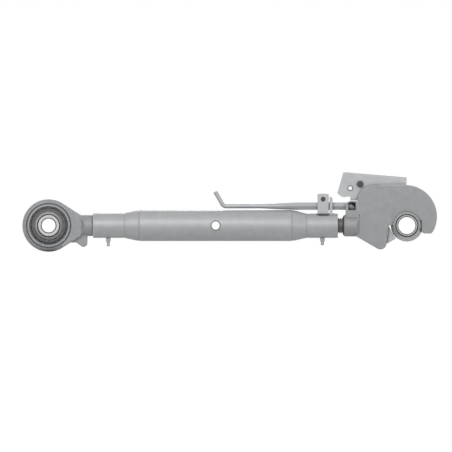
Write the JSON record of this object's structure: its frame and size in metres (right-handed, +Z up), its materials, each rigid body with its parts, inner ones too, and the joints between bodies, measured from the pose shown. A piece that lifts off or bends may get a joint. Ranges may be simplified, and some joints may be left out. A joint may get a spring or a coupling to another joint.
{
  "type": "tractor top link",
  "caption": "Adjustable tractor top link: threaded barrel with a swivel ball end, a self-locking catch hook with release lever, and a sliding anti-turn lock bar.",
  "frame": {"origin": "centre of the tractor-side ball, on its pin's axis", "axes": "+X along the barrel to the catch hook, +Y along the pins, +Z up on the side of the lock bar"},
  "size_m": [0.7752, 0.058, 0.1492],
  "materials": {
    "forged_steel": "satin",
    "barrel_steel": "satin",
    "thread_steel": "satin",
    "hardened_ball": "polished",
    "race_steel": "satin",
    "zinc_plate": "satin",
    "spring_steel": "satin"
  },
  "bodies": {
    "barrel": {"tube": "barrel_steel", "left_grease_nipple": "zinc_plate", "right_grease_nipple": "zinc_plate", "lock_bracket": "zinc_plate", "bracket_pin": "spring_steel", "bar_guide": "zinc_plate"},
    "ball_end": {"ball_end": "forged_steel", "left_spindle": "thread_steel", "ball_race": "race_steel"},
    "tractor_ball": {"tractor_ball": "hardened_ball"},
    "hook": {"hook": "forged_steel", "right_spindle": "thread_steel", "bar_lug": "forged_steel", "stop_pin": "spring_steel", "bolt_spring": "spring_steel"},
    "implement_ball": {"implement_ball": "hardened_ball"},
    "locking_bolt": {"locking_bolt": "zinc_plate", "link_pin": "spring_steel", "link_washer": "zinc_plate", "link_clip": "spring_steel"},
    "release_lever": {"release_lever": "zinc_plate"},
    "lock_bar": {"lock_bar": "zinc_plate"}
  },
  "joints": [
    {"name": "hook_screw", "type": "slide", "parent": "barrel", "child": "hook", "axis": [1, 0, 0], "range_m": [0, 0.135]},
    {"name": "ball_end_screw", "type": "slide", "parent": "barrel", "child": "ball_end", "axis": [-1, 0, 0], "range_m": [0, 0.135]},
    {"name": "tractor_ball_turn", "type": "hinge", "parent": "ball_end", "child": "tractor_ball", "pos_m": [0, 0, 0], "axis": [0, 1, 0], "continuous": true},
    {"name": "implement_ball_turn", "type": "hinge", "parent": "hook", "child": "implement_ball", "pos_m": [0.67, 0, 0], "axis": [0, 1, 0], "continuous": true},
    {"name": "bolt_slide", "type": "slide", "parent": "hook", "child": "locking_bolt", "axis": [-0.4894, 0, 0.8721], "range_m": [0, 0.026], "stiffness_N_per_m": 500, "springref_m": -0.03, "deforming": ["bolt_spring"]},
    {"name": "lever_turn", "type": "hinge", "parent": "locking_bolt", "child": "release_lever", "pos_m": [0.58264, 0, 0.07736], "axis": [0, 1, 0], "range_deg": [0, 15.4]},
    {"name": "lock_bar_slide", "type": "slide", "parent": "hook", "child": "lock_bar", "axis": [-1, 0, 0], "range_m": [0, 0.024]}
  ],
  "couplings": [
    {"joint": "ball_end_screw", "follows": "hook_screw", "ratio": 1},
    {"joint": "lever_turn", "follows": "bolt_slide", "rad_per_m": 10.25}
  ]
}
